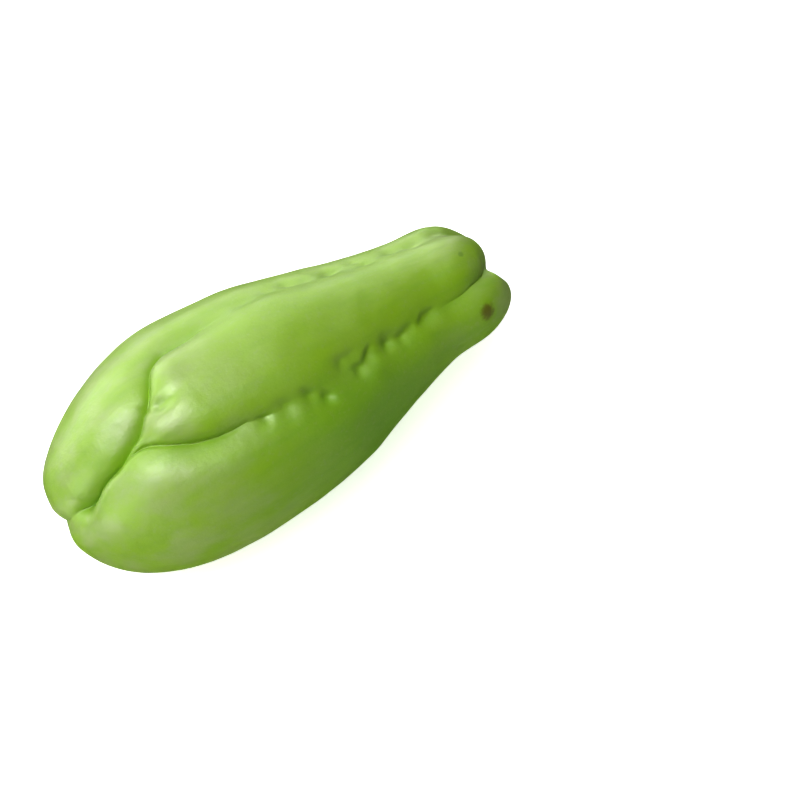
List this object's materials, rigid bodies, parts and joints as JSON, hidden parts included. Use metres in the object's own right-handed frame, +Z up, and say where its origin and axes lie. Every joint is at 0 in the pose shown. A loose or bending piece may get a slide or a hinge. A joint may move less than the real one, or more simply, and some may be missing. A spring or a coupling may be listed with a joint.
{
  "type": "chayote squash",
  "caption": "Whole chayote squash lying on its side: a smooth, lobed, pear-shaped fruit with long furrows, a mouth slit at its broad end and a small stalk hollow at its narrow end.",
  "frame": {"origin": "centre of the fruit's bounding box in plan, on the surface that it lies on", "axes": "+X along the fruit from its broad blossom end to its narrow stem end, +Z up"},
  "size_m": [0.171, 0.0784, 0.0723],
  "materials": {
    "skin": "smooth waxy yellow-green skin with a soft satin sheen, paler on the ridges and darker in the furrows"
  },
  "bodies": {
    "root": {"chayote": "skin"}
  },
  "joints": []
}
